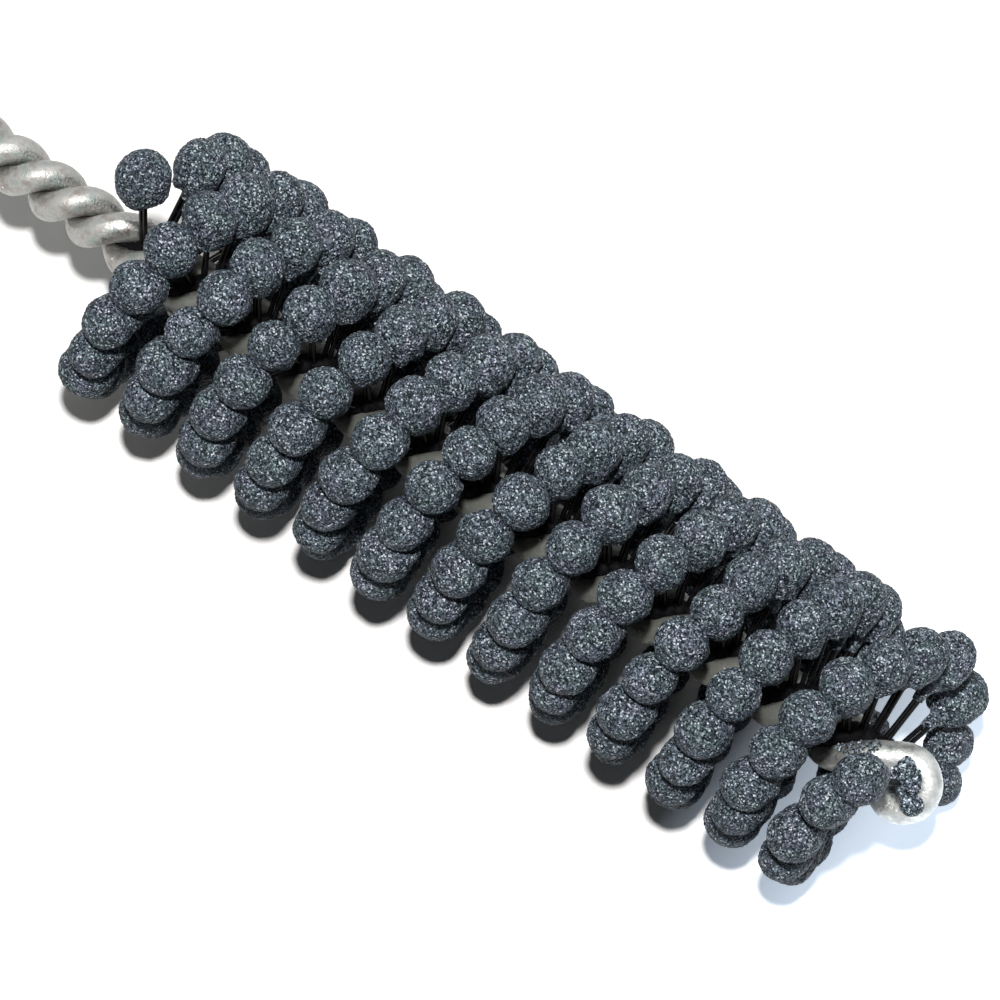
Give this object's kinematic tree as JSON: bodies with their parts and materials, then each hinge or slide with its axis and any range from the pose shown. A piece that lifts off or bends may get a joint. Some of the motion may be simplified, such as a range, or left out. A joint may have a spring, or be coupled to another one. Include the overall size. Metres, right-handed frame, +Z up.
{
  "type": "flexible ball hone",
  "caption": "Flexible ball hone: abrasive globules on nylon filaments, clamped in a double helix along a twisted steel wire stem with a bent nose.",
  "frame": {"origin": "on the stem's axis in the plane of the shank's cut end", "axes": "+X along the stem from the cut end to the bent nose, +Z up with the stem level and the brush lying on its globules"},
  "size_m": [0.2032, 0.02, 0.02],
  "materials": {
    "galvanised_wire": "satin zinc",
    "nylon": "gloss",
    "abrasive": "rough grit"
  },
  "bodies": {
    "stem": {"stem_wire": "galvanised_wire", "filaments_01": "nylon", "filaments_02": "nylon", "filaments_03": "nylon", "filaments_04": "nylon", "filaments_05": "nylon", "filaments_06": "nylon", "filaments_07": "nylon", "filaments_08": "nylon", "filaments_09": "nylon", "filaments_10": "nylon", "filaments_11": "nylon", "filaments_12": "nylon", "filaments_13": "nylon"},
    "globules": {"globules_a_01": "abrasive", "globules_a_02": "abrasive", "globules_a_03": "abrasive", "globules_a_04": "abrasive", "globules_a_05": "abrasive", "globules_a_06": "abrasive", "globules_a_07": "abrasive", "globules_a_08": "abrasive", "globules_a_09": "abrasive", "globules_a_10": "abrasive", "globules_a_11": "abrasive", "globules_a_12": "abrasive", "globules_a_13": "abrasive", "globules_b_01": "abrasive", "globules_b_02": "abrasive", "globules_b_03": "abrasive", "globules_b_04": "abrasive", "globules_b_05": "abrasive", "globules_b_06": "abrasive", "globules_b_07": "abrasive", "globules_b_08": "abrasive", "globules_b_09": "abrasive", "globules_b_10": "abrasive", "globules_b_11": "abrasive", "globules_b_12": "abrasive", "globules_b_13": "abrasive"}
  },
  "joints": [
    {"name": "globule_lag", "type": "hinge", "parent": "stem", "child": "globules", "pos_m": [0.169, 0, 0], "axis": [1, 0, 0], "range_deg": [-15, 15], "stiffness_Nm_per_rad": 0.12, "deforming": ["filaments_01", "filaments_02", "filaments_03", "filaments_04", "filaments_05", "filaments_06", "filaments_07", "filaments_08", "filaments_09", "filaments_10", "filaments_11", "filaments_12", "filaments_13"]}
  ]
}
